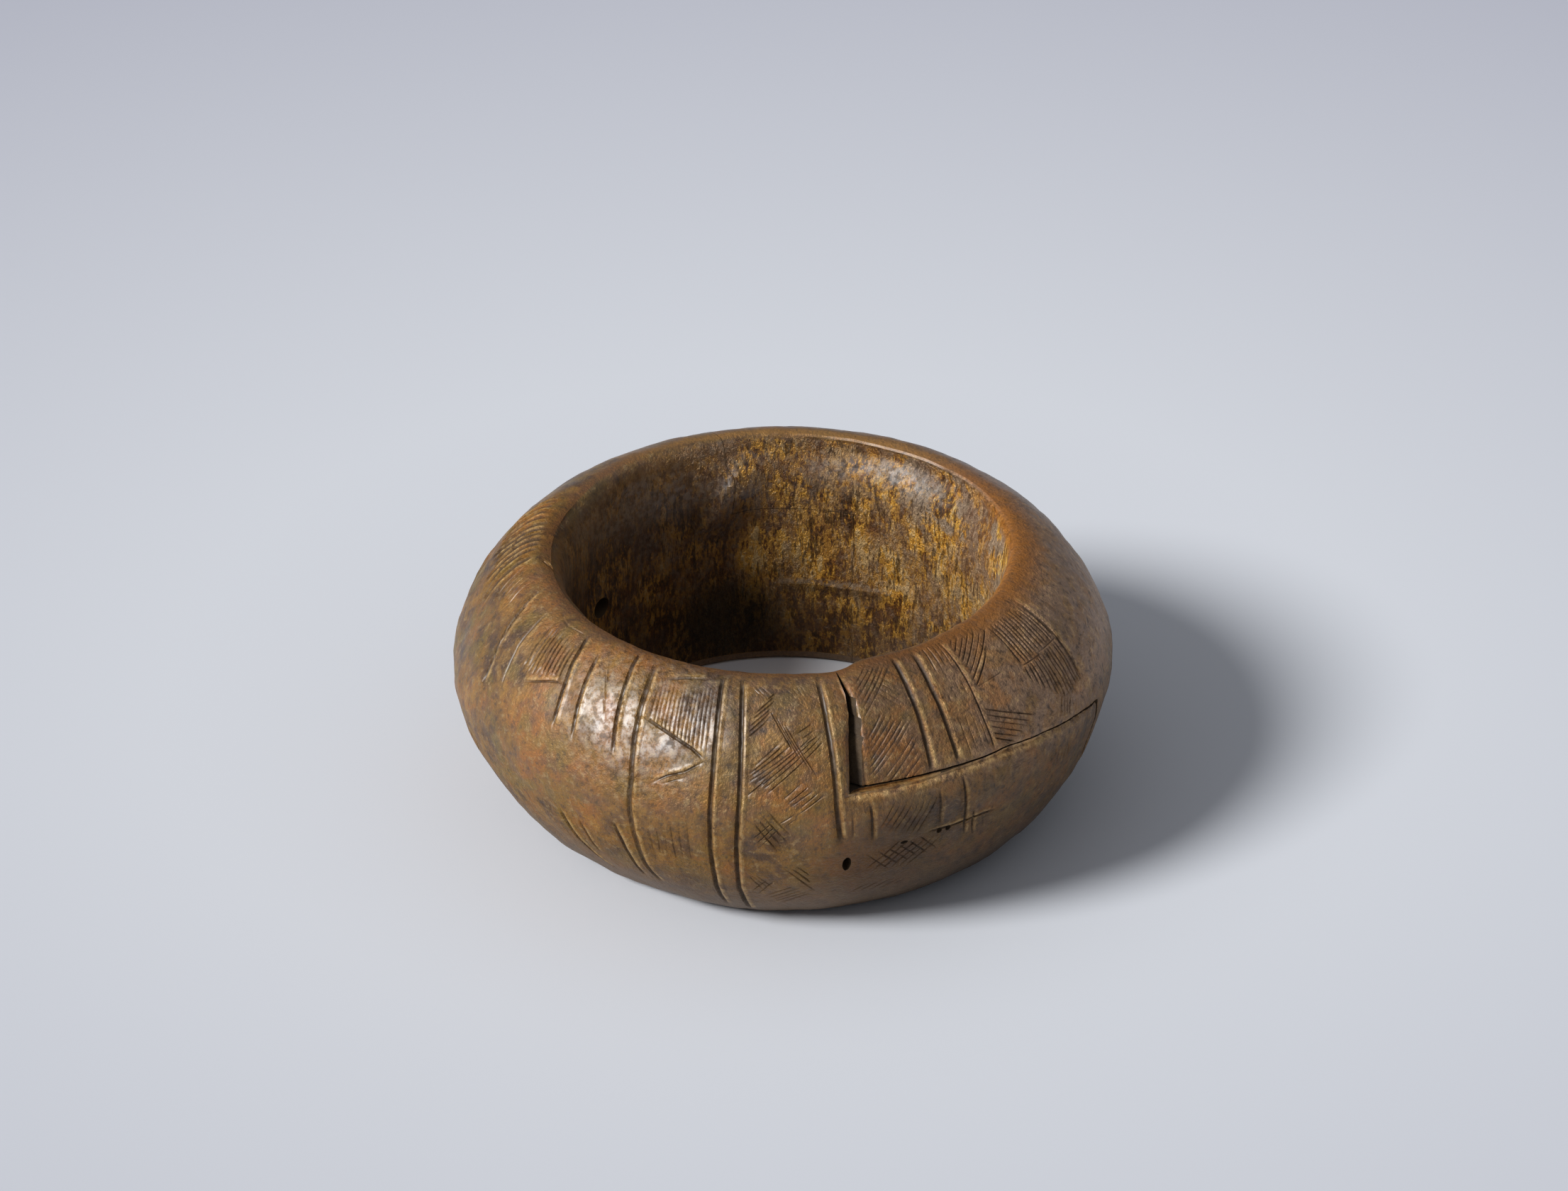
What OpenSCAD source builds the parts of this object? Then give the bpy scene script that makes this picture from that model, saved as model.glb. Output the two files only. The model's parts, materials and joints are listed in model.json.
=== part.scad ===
// Heavy cast bracelet of the currency kind, made of two halves that meet in stepped laps.
// The left half carries the lower lap at both ends. The right half, the gate, carries the upper lap at both
// ends, turns on an upright pin in the back lap and closes on a peg at the front.
// The ring stands on its foot at z = 0 with its axis on Z. Directions are degrees from +X, seen from above.

/* [Ring] */
// Outer diameter at the belly
outer_d = 100; // [92:1:120]
// Diameter of the wrist opening
bore_d = 66; // [58:1:72]
// Overall height
height = 41; // [37:1:48]
// Height of the widest point
belly_z = 24; // [18:0.5:28]
// How far the ridge of the rim lies outside the bore
rim_inset = 2; // [1:0.5:4]
// Depth of the rounded edge from the ridge down to the bore
rim_drop = 3; // [1:0.5:5]
// Width of the flat foot
foot_w = 2.4; // [1.5:0.1:5]
// Chamfer between the foot and the bore
foot_chamfer = 0.6; // [0.3:0.1:1.5]
// Curve exponent of the wall above the belly, where 1 is an ellipse
upper_curve = 1.27; // [1:0.01:1.6]
// Curve exponent of the wall below the belly, where 1 is an ellipse
lower_curve = 1.25; // [1:0.01:1.6]

/* [Closing lap] */
// Height of the lap faces, at the front and at the hinge
seam_z = 28; // [20:0.5:31]
// Gap between the lap faces
seam_gap = 0.3; // [0.2:0.05:0.6]
// Direction of the slit in the rim
slit_az = -78.4; // [-100:0.2:-60]
// Width of the slit at the rim
slit_gap = 0.5; // [0.3:0.1:1]
// Lean of the gate's end face, which widens the slit downwards
slit_rake = 9; // [0:1:15]
// Direction of the tip of the tongue under the gate
tongue_az = -20; // [-40:1:0]
// Gap between the tongue's tip and the gate
tongue_gap = 0.5; // [0.3:0.1:1]

/* [Hinge lap] */
// Direction of the hinge pin
hinge_az = 88; // [75:1:100]
// Diameter of the hinge pin
pin_d = 5; // [3:0.5:7]
// Running clearance round the pin in the gate
pin_clearance = 0.05; // [0.02:0.01:0.1]
// Squeeze of the pin in the left half, on the radius
pin_squeeze = 0.01; // [0.005:0.005:0.02]
// How much wider than half the wall the round knuckles are
knuckle_margin = 5.5; // [4.5:0.5:8]
// Gap round the knuckles
knuckle_gap = 0.3; // [0.2:0.05:0.6]

/* [Closing peg] */
// Diameter of the peg
peg_d = 4; // [2.5:0.5:5]
// Length of the peg inside the left half's socket
peg_reach = 5; // [3:0.5:7]
// Length of the peg set into the gate
peg_seat = 6; // [4:0.5:8]
// Length of the tapered tip of the peg
peg_tip = 1; // [0.5:0.1:2]
// Clearance round the peg in its socket
peg_clearance = 0.4; // [0.3:0.05:0.6]
// Squeeze of the peg in the gate, on the radius
peg_squeeze = 0.01; // [0.005:0.005:0.02]

/* [Grooves] */
// Width of the main incised grooves
groove_w = 0.8; // [0.4:0.1:1.5]
// Depth of the main incised grooves
groove_depth = 0.45; // [0.2:0.05:0.8]
// Distance between the two grooves of a pair, in degrees
pair_span = 4.4; // [3:0.2:8]

/* [Hidden] */
$fn = 96;
curve_steps = 10;
rim_steps = 4;
groove_steps = 5;
sector_step = 30;
cut = 1;

belly_r = outer_d / 2;
bore_r = bore_d / 2;
rim_r = bore_r + rim_inset;
foot_r = bore_r + foot_chamfer + foot_w;
mid_r = (bore_r + belly_r) / 2;
knuckle_r = (belly_r - bore_r) / 2 + knuckle_margin;
far = 2 * belly_r;

lap_top = seam_z - seam_gap / 2;
gate_lap = seam_z + seam_gap / 2;

// Main grooves down the outside, each as [direction at its top, direction at its low end, top, low end]. A height
// is a share of the wall: 1 at the ridge of the rim, 0 at the belly and -1 at the foot.
far_left_grooves = [
    [-185, -183, 0.96, 0.75], [-182.6, -180.6, 0.97, 0.63], [-180.3, -178.3, 0.95, 0.67],
    [-176.6, -174.6, 0.94, 0.58], [-161.6, -156, 0.95, 0.28],
    [-186, -182.6, 0.12, -0.67], [-172, -168.6, -0.08, -0.67]
];
left_grooves = [
    [-138.4, -134.4, 0.95, 0.39], [-132.7, -129.6, 0.9, 0.36], [-132, -128.2, -0.29, -0.61],
    [-124.8, -121, 0.96, 0.4], [-120, -117, -0.18, -0.67],
    [-119.3, -116.5, 0.95, 0.23], [-116.5, -114.2, 0.23, -0.7]
];
front_grooves = [
    [-103.4, -102.2, 0.95, 0.05], [-102.2, -101.8, 0.05, -0.83],
    [-99, -97.4, 0.95, 0.18], [-97.4, -98.1, 0.18, -0.75], [-82.6, -80.7, 0.95, -0.15]
];
gate_grooves = [
    [-64.2, -63.8, 0.97, 0.29], [-59, -58.8, 0.97, 0.29], [-51.3, -51.3, 0.97, 0.29], [-24.4, -24.3, 0.95, 0.35]
];
// Directions of the pairs round the back, their lean in degrees and their heights
pair_directions = [22, 52, 118, 147];
pair_lean = 1.2;
pair_top = 0.96;
pair_low = -0.77;

function wall_up(t) = [
    rim_r + (belly_r - rim_r) * pow(cos(t), upper_curve),
    belly_z + (height - belly_z) * pow(sin(t), upper_curve)
];
function wall_low(t) = [
    foot_r + (belly_r - foot_r) * pow(cos(t), lower_curve),
    belly_z - belly_z * pow(sin(t), lower_curve)
];
function rim_edge(t) = [rim_r - rim_inset * sin(t), height - rim_drop * (1 - cos(t))];
function on_ring(az, r) = [r * cos(az), r * sin(az)];

ring_profile = concat(
    [[bore_r, foot_chamfer], [bore_r + foot_chamfer, 0]],
    [for (i = [curve_steps:-1:0]) wall_low(90 * i / curve_steps)],
    [for (i = [1:curve_steps]) wall_up(90 * i / curve_steps)],
    [for (i = [1:rim_steps]) rim_edge(90 * i / rim_steps)]
);

// Height of the wall above the belly at a radius, and the wall's radius at a height
function wall_z(r) = wall_up(acos(pow((r - rim_r) / (belly_r - rim_r), 1 / upper_curve))).y;
function wall_r(z) = z > belly_z
    ? wall_up(asin(pow((z - belly_z) / (height - belly_z), 1 / upper_curve))).x
    : wall_low(asin(pow((belly_z - z) / belly_z, 1 / lower_curve))).x;

// Height at a share of the wall, and a point of the wall sunk to the floor of the grooves
function share_z(share) = belly_z + share * (share > 0 ? height - belly_z : belly_z);
function sunk(p) = p - groove_depth * (p - [mid_r, belly_z]) / norm(p - [mid_r, belly_z]);

// All that lies outside the floor of the grooves
skin_profile = concat(
    [for (i = [groove_steps:-1:0]) sunk(wall_low(90 * i / groove_steps))],
    [for (i = [1:groove_steps]) sunk(wall_up(90 * i / groove_steps))],
    [[rim_r, height + cut], [far, height + cut], [far, -cut], [foot_r, -cut]]
);

// The peg lies in the middle of the gate's lap and square to the line from the pin, so that it leaves its
// socket freely
peg_z = (seam_z + wall_z(mid_r)) / 2;
peg_r = (bore_r + wall_r(peg_z)) / 2;
peg_mouth = on_ring(slit_az, peg_r);
pin_to_peg = peg_mouth - on_ring(hinge_az, mid_r);
peg_az = atan2(pin_to_peg.x, -pin_to_peg.y);
peg_out = slit_gap + (height - peg_z) * tan(slit_rake) + peg_seat;

module ring() {
    rotate_extrude() polygon(ring_profile);
}

// A straight cut through the wall from a place near the rim to a lower one
module groove(top_az, low_az, top, low) {
    half_turn = (low_az - top_az) / 2;
    top_at = [-wall_r(share_z(top)) * sin(half_turn), share_z(top)];
    low_at = [wall_r(share_z(low)) * sin(half_turn), share_z(low)];
    middle = (top_at + low_at) / 2;
    run = low_at - top_at;
    rotate((top_az + low_az) / 2) translate([bore_r, middle.x, middle.y]) rotate([atan2(run.x, -run.y), 0, 0])
        translate([0, -groove_w / 2, -(norm(run) + groove_w) / 2]) cube([far, groove_w, norm(run) + groove_w]);
}

module grooves() {
    intersection() {
        rotate_extrude() polygon(skin_profile);
        union() {
            for (g = concat(far_left_grooves, left_grooves, front_grooves, gate_grooves))
                groove(g[0], g[1], g[2], g[3]);
            for (az = pair_directions, side = [-0.5, 0.5])
                groove(az + side * pair_span, az + side * pair_span + pair_lean, pair_top, pair_low);
        }
    }
}

module incised_ring() {
    difference() {
        ring();
        grooves();
    }
}

module slab(z_low, z_high) {
    translate([0, 0, z_low]) linear_extrude(z_high - z_low) children();
}

module sector(from, to) {
    steps = ceil((to - from) / sector_step);
    polygon(concat(
        [[0, 0]],
        [for (i = [0:steps]) on_ring(from + (to - from) * i / steps, far)]
    ));
}

module at_hinge() {
    translate(on_ring(hinge_az, mid_r)) children();
}

// Plan of the gate above the seam, with its knuckle grown by a gap where it cuts the left half
module upper_plan(grow) {
    sector(slit_az, hinge_az);
    at_hinge() circle(r = knuckle_r + grow);
}

// Plan of the gate below the seam, where the left half's knuckle stands in it
module lower_plan(grow) {
    difference() {
        sector(tongue_az, hinge_az);
        at_hinge() circle(r = knuckle_r + grow);
    }
}

module pin_hole(r) {
    at_hinge() translate([0, 0, -cut]) cylinder(r = r, h = height + 2 * cut);
}

// Places a shape drawn along +Z on the peg's axis, from a start measured from the left half's end face
module along_peg(start) {
    translate([peg_mouth.x, peg_mouth.y, peg_z]) rotate([0, 90, peg_az]) translate([0, 0, start]) children();
}

// What the slit takes off the gate's end: little at the rim, more at the seam
module slit_wedge() {
    rotate([0, 0, slit_az]) translate([0, slit_gap, height]) rotate([slit_rake, 0, 0])
        translate([0, -far, -far]) cube([far, far, 2 * far]);
}

module left_half() {
    color("peru") difference() {
        incised_ring();
        slab(lap_top, height + cut) upper_plan(knuckle_gap);
        slab(-cut, lap_top + cut) lower_plan(0);
        pin_hole(pin_d / 2 - pin_squeeze);
        along_peg(-peg_reach - peg_clearance)
            cylinder(r = peg_d / 2 + peg_clearance, h = peg_reach + peg_out);
    }
}

module right_half() {
    color("darkgoldenrod") difference() {
        intersection() {
            incised_ring();
            union() {
                slab(gate_lap, height + cut) upper_plan(0);
                slab(-cut, gate_lap + cut) difference() {
                    lower_plan(knuckle_gap);
                    rotate(tongue_az) square([far, tongue_gap]);
                }
            }
        }
        slit_wedge();
        pin_hole(pin_d / 2 + pin_clearance);
        along_peg(0) cylinder(r = peg_d / 2 - peg_squeeze, h = peg_out);
    }
}

module hinge_pin() {
    color("dimgray") intersection() {
        ring();
        at_hinge() cylinder(d = pin_d, h = height);
    }
}

module closing_peg() {
    color("goldenrod") {
        along_peg(-peg_reach) cylinder(d1 = peg_d - peg_tip, d2 = peg_d, h = peg_tip);
        along_peg(peg_tip - peg_reach) cylinder(d = peg_d, h = peg_reach - peg_tip + peg_out);
    }
}

left_half();
right_half();
hinge_pin();
closing_peg();
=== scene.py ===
"""Looks of a heavy cast bracelet of the currency kind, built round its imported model."""

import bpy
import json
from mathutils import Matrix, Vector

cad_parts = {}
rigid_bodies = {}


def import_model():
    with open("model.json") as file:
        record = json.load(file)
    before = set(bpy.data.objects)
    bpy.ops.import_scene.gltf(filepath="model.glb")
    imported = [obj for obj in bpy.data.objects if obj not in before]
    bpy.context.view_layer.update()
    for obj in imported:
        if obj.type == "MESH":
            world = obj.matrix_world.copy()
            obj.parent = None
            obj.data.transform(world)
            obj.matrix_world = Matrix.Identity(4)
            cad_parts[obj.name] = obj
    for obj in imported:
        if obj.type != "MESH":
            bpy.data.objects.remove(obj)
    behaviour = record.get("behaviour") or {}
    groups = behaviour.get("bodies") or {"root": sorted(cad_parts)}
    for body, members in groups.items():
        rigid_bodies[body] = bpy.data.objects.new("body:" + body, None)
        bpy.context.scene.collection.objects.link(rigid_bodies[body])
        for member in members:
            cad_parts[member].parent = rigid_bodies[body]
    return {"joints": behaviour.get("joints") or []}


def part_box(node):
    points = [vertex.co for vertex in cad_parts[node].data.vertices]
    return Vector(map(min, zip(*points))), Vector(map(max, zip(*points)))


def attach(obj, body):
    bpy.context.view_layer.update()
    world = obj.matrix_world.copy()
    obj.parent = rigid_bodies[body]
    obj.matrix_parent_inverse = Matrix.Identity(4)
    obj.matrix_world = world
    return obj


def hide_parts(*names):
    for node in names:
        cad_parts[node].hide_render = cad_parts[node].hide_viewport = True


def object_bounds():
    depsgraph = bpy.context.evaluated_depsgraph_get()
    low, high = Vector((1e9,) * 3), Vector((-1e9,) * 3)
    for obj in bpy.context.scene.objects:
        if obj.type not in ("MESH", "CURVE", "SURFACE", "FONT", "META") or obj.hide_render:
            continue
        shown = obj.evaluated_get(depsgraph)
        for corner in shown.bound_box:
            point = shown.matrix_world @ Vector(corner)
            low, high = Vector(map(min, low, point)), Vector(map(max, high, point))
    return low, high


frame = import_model()
cad_box = [list(corner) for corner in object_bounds()]

import json
import math
import random

import bmesh
import bpy
import numpy as np
from mathutils import Matrix, Vector, kdtree, noise

bl_info = {
    "name": "Cast bracelet of two hinged halves",
    "version": (1, 0, 0),
    "blender": (4, 5, 0),
    "location": "3D View > Sidebar > Bracelet",
    "description": "Incised cast brass bracelet with a stepped closing lap, a hinge pin and a closing peg",
    "category": "Object",
}

# Lengths below are in mm, directions in degrees from +X
MM = 0.001
PIN_X, PIN_Y = (c / MM for c in frame["joints"][0]["pos_m"][:2])
HINGE_AZ = math.degrees(math.atan2(PIN_Y, PIN_X))
PIN_R = math.hypot(PIN_X, PIN_Y)
KNUCKLE_R = 14.0
SEAM_GAP = 0.3
HINGE_GAP = 0.08
SEAM_Z = 28.0
TONGUE_AZ = -22.0
TONGUE_GAP = 0.8
BEVEL = 2.8
LEDGE_Z = 15.1
PEG_SLANT = math.radians(4.6)
SLIT_CLEARANCE = 0.42
PIN_HOLE_LEFT, PIN_HOLE_GATE = 2.52, 2.56
PEG_SOCKET_R, PEG_HOLE_R = 2.4, 2.0
RIM_Z = 40.9
AIM_Z = 31.9

# Cutters reach from within the bore to beyond the belly, and from under the foot to over the rim
CUT_FROM, CUT_TO = 22, 64
UNDER, OVER = -5, 50
ROUND = 160

# Marks that the ring's mesh carries for its finish: cut lines, raised lips and worn edges with a painted
# highlight, dirt and painted shade beside the lines, place on the wall in mm, and whether a vertex comes
# from the ring
MARKS = ("groove", "lip", "grime_and_shade", "wall", "kept")

# The flat sheet starts and ends at this direction, at the back left, where no line crosses it
SHEET_AZ = -230.0
SHEET_COLUMNS = 360
FLAT_R = 46.0

# Edges of the front slit as (height, direction)
SLIT_LEFT = [
    (45, -79), (40.8, -78.9), (39.8, -78.1), (38.8, -77.3), (37.4, -77.3), (33.2, -78.3), (27, -79.1),
]
SLIT_GATE = [
    (45, -78.5), (40.8, -78.4), (39.8, -76.4), (38, -75.7), (35.8, -75.6), (30.5, -75.8), (27, -75.8),
]

# Seam under the gate as (direction, height), which dips to the right, in directions from a start at the back
SEAM_START_AZ = -276
SEAM = [
    (-90, 28), (-79, 27.9), (-69, 28.1), (-60, 28.5), (-48, 28.3), (-40, 27.4),
    (-30, 26), (-23.6, 24.9), (-18, 24.6), (0, 28),
]


def rgb(red, green, blue):
    """Linear colour of a colour given in screen numbers from 0 to 255."""
    def linear(c):
        c /= 255
        return c / 12.92 if c <= 0.04045 else ((c + 0.055) / 1.055) ** 2.4
    return linear(red), linear(green), linear(blue)


def along(places, at):
    """Second number of a list of places, read off at a value of the first."""
    first, second = zip(*sorted(places))
    return np.interp(at, first, second)


def smooth(low, high, value):
    """Soft step from 0 at low to 1 at high."""
    t = np.clip((value - low) / (high - low), 0, 1)
    return t * t * (3 - 2 * t)


def length_prop(name, description, default):
    """A length in metres."""
    return bpy.props.FloatProperty(name=name, description=description, default=default, unit="LENGTH")


def angle_prop(name, description, degrees):
    """An angle, given in degrees."""
    return bpy.props.FloatProperty(
        name=name, description=description, default=math.radians(degrees), subtype="ANGLE")


def number_prop(name, description, default):
    """A plain number."""
    return bpy.props.FloatProperty(name=name, description=description, default=default)


def colour_prop(name, description, *screen):
    """A colour, given in screen numbers."""
    return bpy.props.FloatVectorProperty(
        name=name, description=description, default=rgb(*screen), subtype="COLOR")


class BraceletShape(bpy.types.PropertyGroup):
    """Sizes of the cast halves that a user may change."""
    bore_r: length_prop("Bore radius", "Radius of the wrist opening", 0.033)
    belly_r: length_prop("Belly radius", "Radius at the widest point", round(cad_box[1][0], 4))
    height: length_prop("Height", "Height of the rim's ridge", round(cad_box[1][2], 4))
    belly_z: length_prop("Belly height", "Height of the widest point", 0.024)
    incision: number_prop("Incision", "Depth of the incised lines, where 1 is as cut", 0.8)
    stroke: number_prop("Stroke", "Width of the incised lines, where 1 is as drawn", 0.78)
    hammer: length_prop("Hammer marks", "Height of the uneven skin", 0.0002)
    edge_wear: length_prop("Edge wear", "Depth of the rounding along the joints", 0.00028)
    gate_sink: length_prop("Gate sink", "How far the gate's lower corner lies behind the tongue", 0.0012)


class BraceletFinish(bpy.types.PropertyGroup):
    """Colours of the brass, its patina and the pin."""
    ochre: colour_prop("Ochre", "Main colour of the skin", 146, 102, 36)
    umber: colour_prop("Umber", "Brown patches on the skin", 92, 61, 25)
    russet: colour_prop("Russet", "Orange brown patches", 164, 104, 34)
    plum: colour_prop("Plum", "Grey violet tarnish", 108, 78, 56)
    olive: colour_prop("Olive", "Yellow green tarnish", 140, 112, 40)
    grey_brown: colour_prop("Grey brown", "Dull skin of the gate", 142, 113, 88)
    rim: colour_prop("Rim", "Worn metal of the rim", 126, 78, 30)
    # Straw also paints the highlight on lips and worn edges
    straw: colour_prop("Straw", "Yellow flecks and rubbed lips", 186, 154, 102)
    gold: colour_prop("Bore gold", "Bare metal of the bore", 188, 139, 54)
    bronze: colour_prop("Bore bronze", "Half worn metal of the bore", 122, 77, 25)
    ash: colour_prop("Bore ash", "Grey tarnish of the bore", 130, 112, 92)
    soot: colour_prop("Bore soot", "Dark streaks of the bore", 62, 40, 16)
    # Dusk is a brown skin for the bore's dark streaks, and also painted shade on its unlit left and under
    # its ledge
    dusk_and_shade: colour_prop("Bore dusk", "Brown skin on the bore's left", 50, 31, 11)
    moss: colour_prop("Bore moss", "Dark green corrosion low in the bore", 36, 34, 17)
    groove: colour_prop("Groove", "Patina in the incised lines", 60, 48, 36)
    lap: colour_prop("Lap", "Faces inside the joints", 98, 77, 50)
    iron: colour_prop("Pin iron", "Rusted iron of the hinge pin", 96, 70, 50)


class BraceletStage(bpy.types.PropertyGroup):
    """Floor, light and camera."""
    floor: colour_prop("Floor", "Colour of the floor round the bracelet", 222, 225, 231)
    # The far floor colour paints a fall-off of light away from the bracelet
    floor_far_falloff: colour_prop("Far floor", "Colour of the floor further away", 188, 190, 202)
    key_strength: number_prop("Key light", "Strength of the soft key light, in watts per square metre", 3.3)
    key_az: angle_prop("Key direction", "Direction of the key light from +X", -153)
    key_size: angle_prop("Key size", "Angle that the key light fills, which softens its shadows", 18)
    key_height: angle_prop("Key height", "Angle of the key light above the floor", 37)
    sky: number_prop("Sky", "Strength of the light from all round", 0.235)
    distance: length_prop("Camera distance", "From the camera to the bracelet", 0.6597)
    elevation: angle_prop("Camera elevation", "Angle of the camera above the floor", 31.16)


class Wall:
    """Line of the ring's wall, up the bore, over the rim, down the outside and under the foot.

    Places on it are given by s, in mm from the ridge of the rim: below zero in the bore, above zero outside.
    """
    RIM_INSET, RIM_DROP, FOOT_W, CHAMFER = 2.0, 3.0, 2.4, 0.6
    UPPER_CURVE, LOWER_CURVE = 1.27, 1.25

    def __init__(self, shape):
        bore, belly = shape.bore_r / MM, shape.belly_r / MM
        top, mid = shape.height / MM, shape.belly_z / MM
        rim, foot = bore + self.RIM_INSET, bore + self.CHAMFER + self.FOOT_W
        turn = np.linspace(0.5 * math.pi, 0, 120)
        sin, cos = np.sin(turn), np.maximum(np.cos(turn), 0)
        upward = np.linspace(self.CHAMFER, top - self.RIM_DROP, 60)
        inward = np.linspace(foot, bore + self.CHAMFER, 10)
        runs = [
            (np.full(60, bore), upward),
            (rim - self.RIM_INSET * sin, top - self.RIM_DROP * (1 - cos)),
            (rim + (belly - rim) * cos ** self.UPPER_CURVE, mid + (top - mid) * sin ** self.UPPER_CURVE),
            (foot + (belly - foot) * sin ** self.LOWER_CURVE, mid - mid * cos ** self.LOWER_CURVE),
            (inward, np.zeros(10)),
            (np.array([bore]), np.array([self.CHAMFER])),
        ]
        r, z = (np.concatenate([run[i] for run in runs]) for i in (0, 1))
        step = np.hypot(np.diff(r), np.diff(z))
        keep = np.concatenate([[True], step > 1e-6])
        r, z = r[keep], z[keep]
        s = np.concatenate([[0], np.cumsum(np.hypot(np.diff(r), np.diff(z)))])
        self.s = np.linspace(0, s[-1], 1600)
        self.r, self.z = np.interp(self.s, s, r), np.interp(self.s, s, z)
        soft = np.ones(13) / 13
        tr = np.convolve(np.pad(np.gradient(self.r, self.s), 6, mode="edge"), soft, "valid")
        tz = np.convolve(np.pad(np.gradient(self.z, self.s), 6, mode="edge"), soft, "valid")
        size = np.hypot(tr, tz)
        self.nr, self.nz = -tz / size, tr / size
        self.s -= self.s[np.argmax(self.z)]
        self.foot = self.s[np.argmax((self.s > 0) & (self.z < 0.01))]

    def at(self, s):
        """Radius, height and outward direction at places on the wall."""
        return [np.interp(s, self.s, line) for line in (self.r, self.z, self.nr, self.nz)]

    def outside(self, z):
        """Place on the outside at a height."""
        out = (self.s >= 0) & (self.s <= self.foot)
        return np.interp(-z, -self.z[out], self.s[out])

    def inside(self, z):
        """Place in the bore at a height."""
        bore = self.s <= 0
        return np.interp(z, self.z[bore], self.s[bore])

    def rows(self):
        """Rows of the sheet: close outside, wider in the bore."""
        low, high, foot = self.s[0], self.s[-1], self.foot
        ledge = self.inside(LEDGE_Z)
        return np.concatenate([
            np.linspace(low, ledge - 1.8, 9), np.linspace(ledge - 1.2, ledge + 1.2, 9),
            np.linspace(ledge + 2.2, -4.2, 15), np.linspace(-3.6, -0.6, 6), np.arange(0, foot - 0.5, 0.95),
            [foot], np.linspace(foot + 0.8, high - 0.85, 2), [high],
        ])


class Chasing:
    """Incised lines, each a straight run between two places given as (direction, s)."""

    def __init__(self, shape):
        self.runs = []
        self.deepen, self.widen = shape.incision, shape.stroke
        self.hand = random.Random(5)

    def run(self, p, q, width, depth, kind, open_start, open_end):
        if kind != "edge":
            width, depth = width * self.widen, depth * self.deepen
        self.runs.append((p, q, width, depth, kind, open_start, open_end))

    def groove(self, places, width=0.95, depth=0.5):
        """A broad groove with a lip on its right side."""
        last = len(places) - 2
        for i, (p, q) in enumerate(zip(places, places[1:])):
            self.run(p, q, width, depth, "groove", i == 0, i == last)

    def edge(self, places, depth, width=1.8):
        """A worn edge along a joint."""
        for p, q in zip(places, places[1:]):
            self.run(p, q, width, depth, "edge", False, False)

    def line(self, p, q, width=0.42, depth=0.24):
        """A single graver line, a little off true as by hand."""
        wander = [self.hand.uniform(-0.14, 0.14) for _ in range(4)]
        p = p[0] + wander[0], p[1] + wander[1]
        q = q[0] + wander[2], q[1] + wander[3]
        width *= self.hand.uniform(0.85, 1.15)
        self.run(p, q, width, depth * self.hand.uniform(0.75, 1.15), "line", True, True)

    def hatch(self, first, last, count, width=0.42, depth=0.24):
        """Lines that pass evenly from a first to a last one, each given by both its places."""
        for i in range(count):
            t = i / max(count - 1, 1)
            ends = [a + (b - a) * t for a, b in zip(first, last)]
            self.line(ends[:2], ends[2:], width, depth)

    def dotted(self, p, q, dashes, width=0.42, depth=0.2):
        """A line of short dashes."""
        for i in range(dashes):
            a, b = i / dashes, (i + 0.72) / dashes
            ends = [[c + (d - c) * t for c, d in zip(p, q)] for t in (a, b)]
            self.line(*ends, width, depth)


def joint_edges(chase, wall, wear):
    """Worn edges along the slit, the seam, the tongue's tip and the hinge lap, outside and in the bore."""
    def upright(az_of_z, low, high, place):
        return [(float(az_of_z(z)), place(z)) for z in np.linspace(high, low, 6)]

    def knuckle(side, place, low, high):
        line = []
        for z in np.linspace(high, low, 7):
            s = place(z)
            r = float(wall.at(s)[0])
            cosine = (PIN_R ** 2 + r ** 2 - (KNUCKLE_R + 0.15) ** 2) / (2 * PIN_R * r)
            line.append((HINGE_AZ + side * math.degrees(math.acos(cosine)), s))
        return line

    stops = (-79, -72, -66, -60, -54, -48, -44, -40, -35, -30, -22)
    for place, top, foot in ((wall.outside, 40.2, 2.0), (wall.inside, 37.5, 4)):
        for edge in (SLIT_LEFT, SLIT_GATE):
            chase.edge(upright(lambda z: along(edge, z), 28.3, top, place), wear * 0.8, 1.2)
        seam = [(az, place(float(along(SEAM, az)))) for az in stops]
        chase.edge(seam, wear)
        chase.edge([(az, s + 0.4) for az, s in seam[:8]], wear * 1.9, 2.2)
        chase.edge(upright(lambda z: TONGUE_AZ + TONGUE_GAP / 2, foot, 24.2, place), wear)
        chase.edge(knuckle(1, place, 28.3, top), wear * 0.15)
        chase.edge(knuckle(-1, place, foot, 27.7), wear * 0.15)
        ends = [knuckle(side, place, 27.9, 28.1)[3][0] for side in (-1, 1)]
        chase.edge([(az, place(SEAM_Z)) for az in np.linspace(*ends, 5)], wear * 0.15)


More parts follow.
